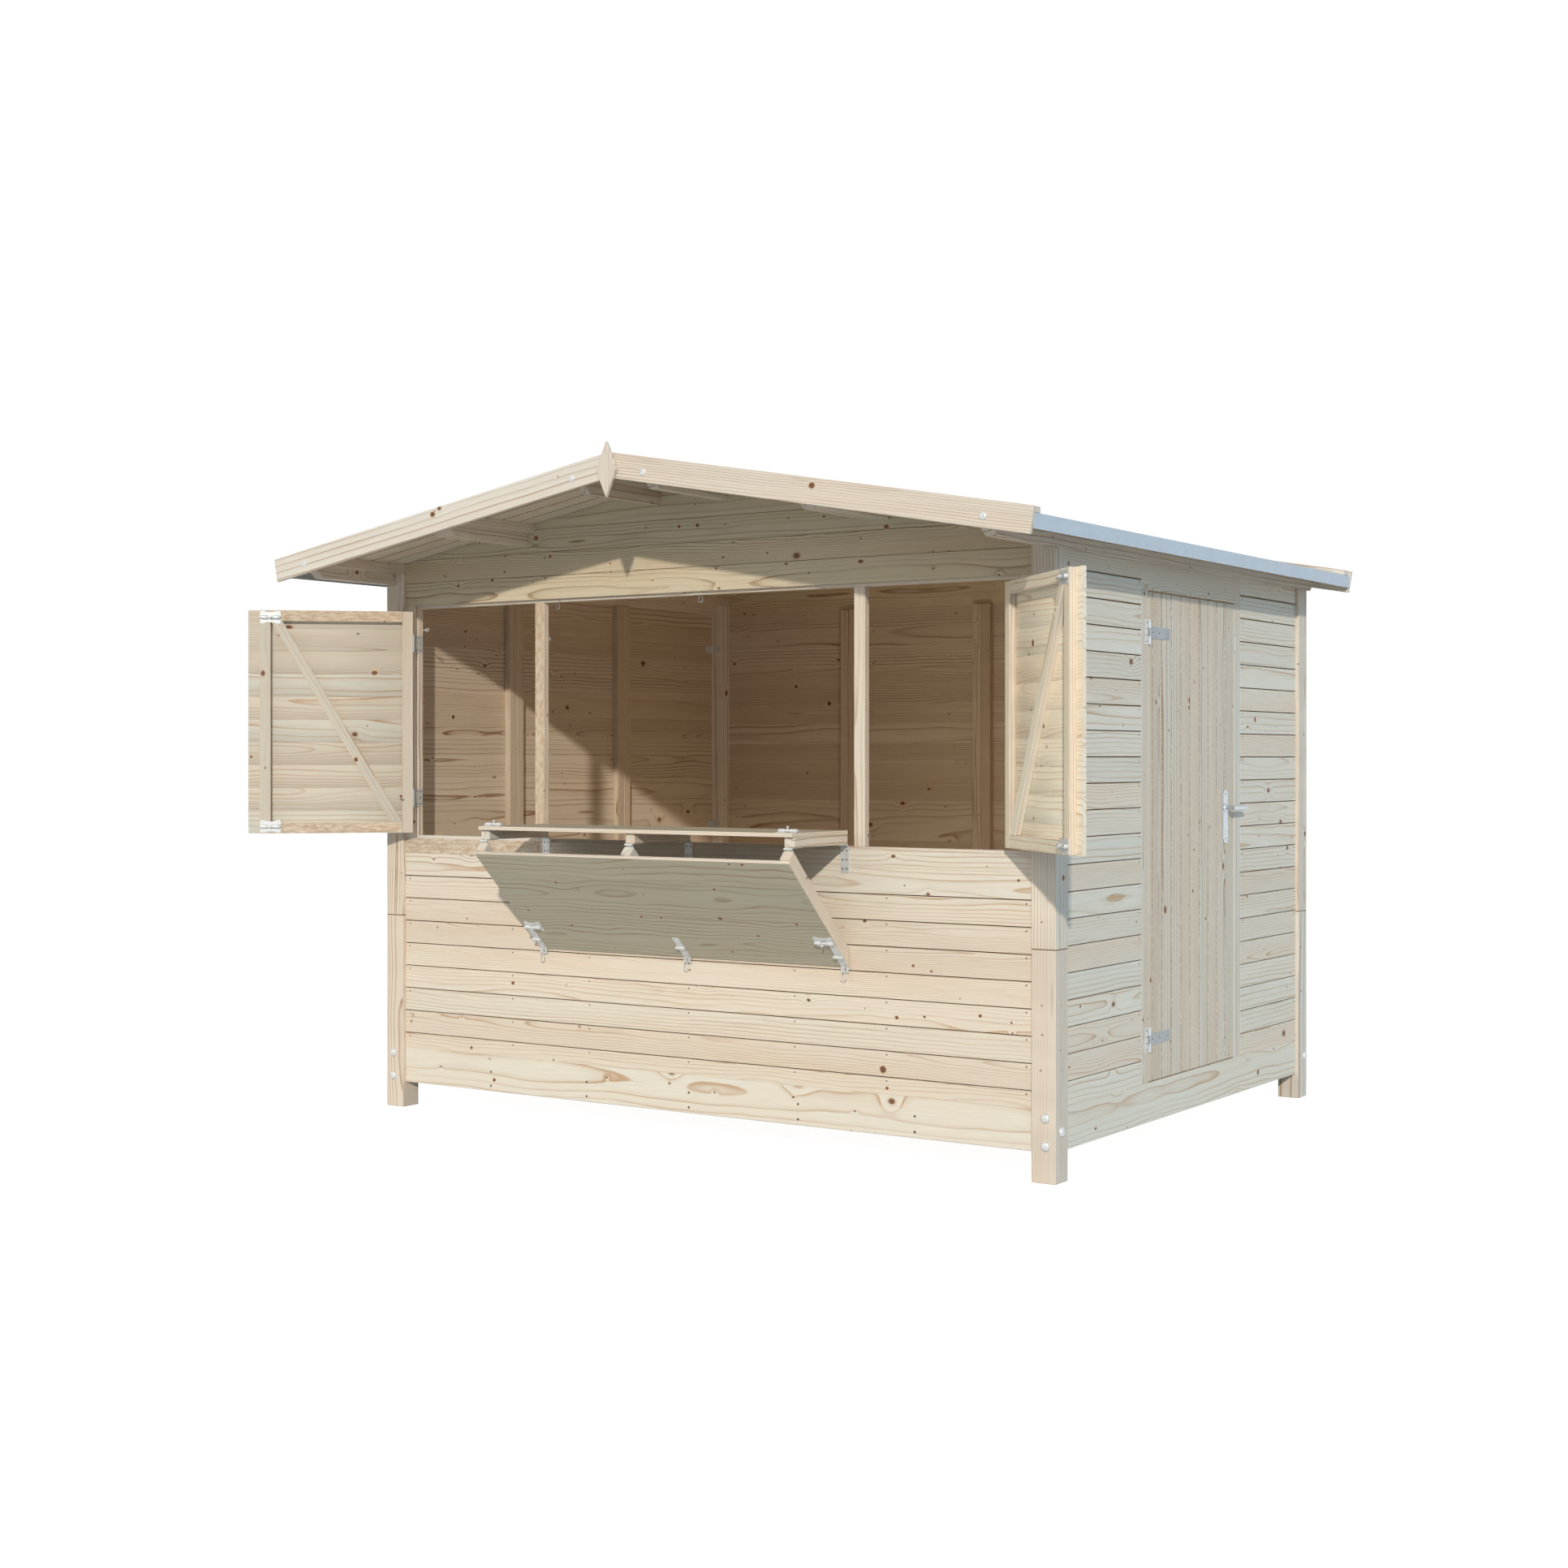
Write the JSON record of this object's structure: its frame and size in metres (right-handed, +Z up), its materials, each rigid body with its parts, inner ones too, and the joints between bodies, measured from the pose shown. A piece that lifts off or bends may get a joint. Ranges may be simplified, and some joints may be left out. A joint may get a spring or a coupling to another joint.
{
  "type": "market stall",
  "caption": "Wooden market stall hut with a gable roof, a serving opening with hinged side shutters, a fold-down counter propped by its own flap, and a boarded side door.",
  "frame": {"origin": "on the ground, below the middle of the whole plan between the front and rear gable diamonds", "axes": "+X along the serving front to the door side, +Y from the serving front to the rear, +Z up"},
  "size_m": [3.648, 2.902, 2.5051],
  "materials": {
    "wood_frame": "planed unpainted spruce",
    "wood_floor": "planed unpainted spruce, in shade",
    "wood_boards": "planed unpainted spruce boards with knots",
    "wood_trim": "planed unpainted spruce",
    "wood_door": "planed unpainted spruce boards with knots",
    "wood_shutters": "planed unpainted spruce boards with knots",
    "wood_counter": "pale wooden sheet on planed battens",
    "roof_covering": "matte grey roofing felt",
    "zinc_trim": "pale blue-grey coated sheet",
    "zinc_hinges": "galvanised",
    "handle_metal": "satin"
  },
  "bodies": {
    "stall": {"post_bases": "wood_frame", "corner_posts": "wood_frame", "bearers": "wood_frame", "floor_joists": "wood_floor", "floor_boards": "wood_floor", "front_wall": "wood_boards", "sill_board": "wood_boards", "front_side_boards": "wood_boards", "front_gable": "wood_boards", "opening_rails": "wood_frame", "opening_jambs": "wood_frame", "mullions": "wood_frame", "rear_wall": "wood_boards", "rear_gable": "wood_boards", "left_wall": "wood_boards", "right_wall_front": "wood_boards", "right_wall_rear": "wood_boards", "right_wall_over_door": "wood_boards", "door_jambs": "wood_boards", "wall_studs": "wood_frame", "eave_purlins": "wood_frame", "roof_purlins": "wood_frame", "roof_boards": "wood_boards", "roof_cover": "roof_covering", "eave_trims": "zinc_trim", "bargeboards": "wood_trim", "edge_strips": "wood_trim", "gable_diamonds": "wood_trim", "fixed_hinge_leaves": "zinc_hinges"},
    "door": {"door_boards": "wood_door", "door_ledges": "wood_door", "door_hinge_straps": "zinc_hinges", "door_handle": "handle_metal"},
    "left_shutter": {"left_shutter_boards": "wood_shutters", "left_shutter_frame": "wood_shutters", "left_shutter_hinges": "zinc_hinges"},
    "right_shutter": {"right_shutter_boards": "wood_shutters", "right_shutter_frame": "wood_shutters", "right_shutter_hinges": "zinc_hinges"},
    "counter_top": {"counter_sheet": "wood_counter", "counter_battens": "wood_counter", "counter_hinges": "zinc_hinges"},
    "counter_flap": {"flap_sheet": "wood_counter", "flap_battens": "wood_counter", "flap_hinges": "zinc_hinges"}
  },
  "joints": [
    {"name": "door_hinge", "type": "hinge", "parent": "stall", "child": "door", "pos_m": [1.491, -0.214, 1.12], "axis": [0, 0, -1], "range_deg": [0, 120]},
    {"name": "left_shutter_hinge", "type": "hinge", "parent": "stall", "child": "left_shutter", "pos_m": [-1.355, -0.969, 1.55], "axis": [0, 0, -1], "range_deg": [-137, 28]},
    {"name": "right_shutter_hinge", "type": "hinge", "parent": "stall", "child": "right_shutter", "pos_m": [1.355, -0.969, 1.55], "axis": [0, 0, 1], "range_deg": [-137, 28]},
    {"name": "counter_hinge", "type": "hinge", "parent": "stall", "child": "counter_top", "pos_m": [0, -0.969, 1.095], "axis": [1, 0, 0], "range_deg": [-90, 0]},
    {"name": "flap_hinge", "type": "hinge", "parent": "counter_top", "child": "counter_flap", "pos_m": [0, -1.319, 1.095], "axis": [1, 0, 0], "range_deg": [-135.36, 0]}
  ],
  "couplings": [
    {"joint": "flap_hinge", "follows": "counter_hinge", "ratio": 1.504}
  ]
}
